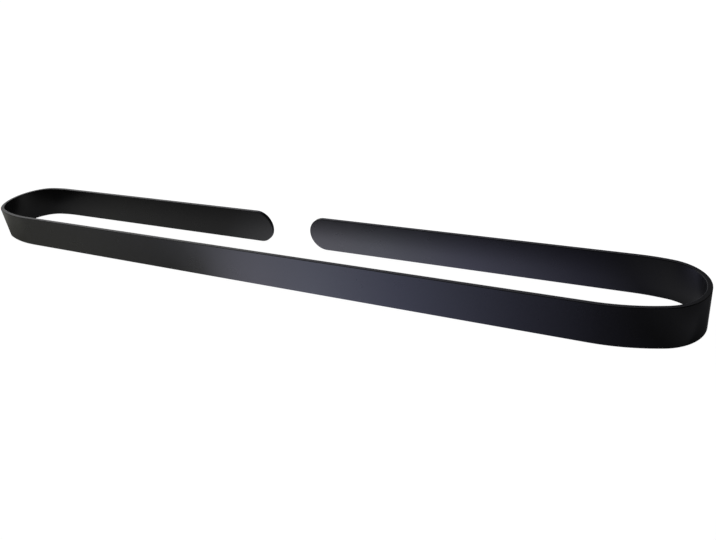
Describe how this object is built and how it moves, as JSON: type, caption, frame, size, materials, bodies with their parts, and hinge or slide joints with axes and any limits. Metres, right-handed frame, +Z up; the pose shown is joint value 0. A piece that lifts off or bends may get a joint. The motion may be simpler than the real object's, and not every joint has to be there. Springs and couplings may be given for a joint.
{
  "type": "adhesive towel rail",
  "caption": "Flat steel strip bent into a long open loop: towels hang over the front run, and the half-round-ended rear arms stick to a wall on foam adhesive pads.",
  "frame": {"origin": "middle of the footprint, at the height of the strip's lower edge", "axes": "+X along the rail, to the right as seen from the room; +Y towards the wall; +Z up"},
  "size_m": [0.6, 0.065, 0.0265],
  "materials": {
    "black_coating": "satin black powder coat with a fine, even texture",
    "foam_adhesive": "matt closed-cell foam, slightly tacky"
  },
  "bodies": {
    "root": {"rail": "black_coating", "adhesive_pad_left": "foam_adhesive", "adhesive_pad_right": "foam_adhesive"}
  },
  "joints": []
}
